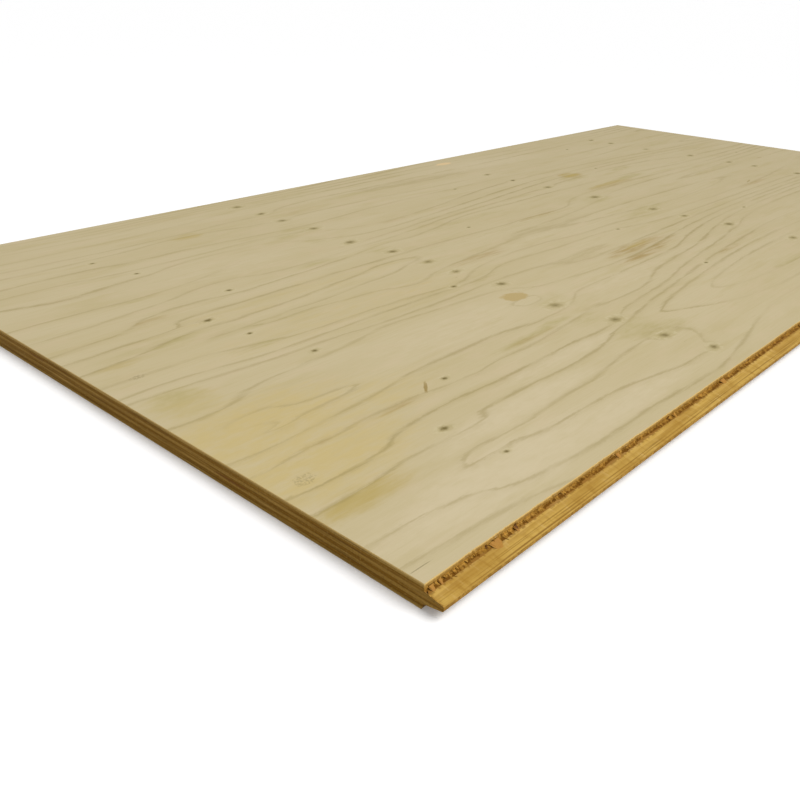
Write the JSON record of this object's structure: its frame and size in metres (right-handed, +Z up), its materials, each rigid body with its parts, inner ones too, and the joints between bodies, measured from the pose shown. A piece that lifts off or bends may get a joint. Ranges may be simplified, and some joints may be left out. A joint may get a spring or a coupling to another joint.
{
  "type": "plywood sheet",
  "caption": "Tongue-and-groove softwood plywood sheet for floors and roofs, with a pale rotary-cut face over crossed veneers.",
  "frame": {"origin": "under the middle of the sheet, on the level floor it lies on", "axes": "+X along the long side and the face grain, +Y towards the grooved edge, +Z up through the thickness to the better face"},
  "size_m": [2.4384, 1.2192, 0.0286],
  "materials": {
    "face_pine": "bare rotary-cut pine, lightly sanded, pale cream with olive growth lines",
    "crossband_pine": "bare pine, torn end grain on the long edges, brown",
    "inner_pine": "bare pine, smooth milled long grain on the tongue, golden",
    "back_pine": "bare rotary-cut pine, unsanded, warmer and knottier than the face"
  },
  "bodies": {
    "root": {"face_veneer": "face_pine", "upper_crossband": "crossband_pine", "upper_inner_veneer": "inner_pine", "centre_crossband": "crossband_pine", "lower_inner_veneer": "inner_pine", "lower_crossband": "crossband_pine", "back_veneer": "back_pine"}
  },
  "joints": []
}
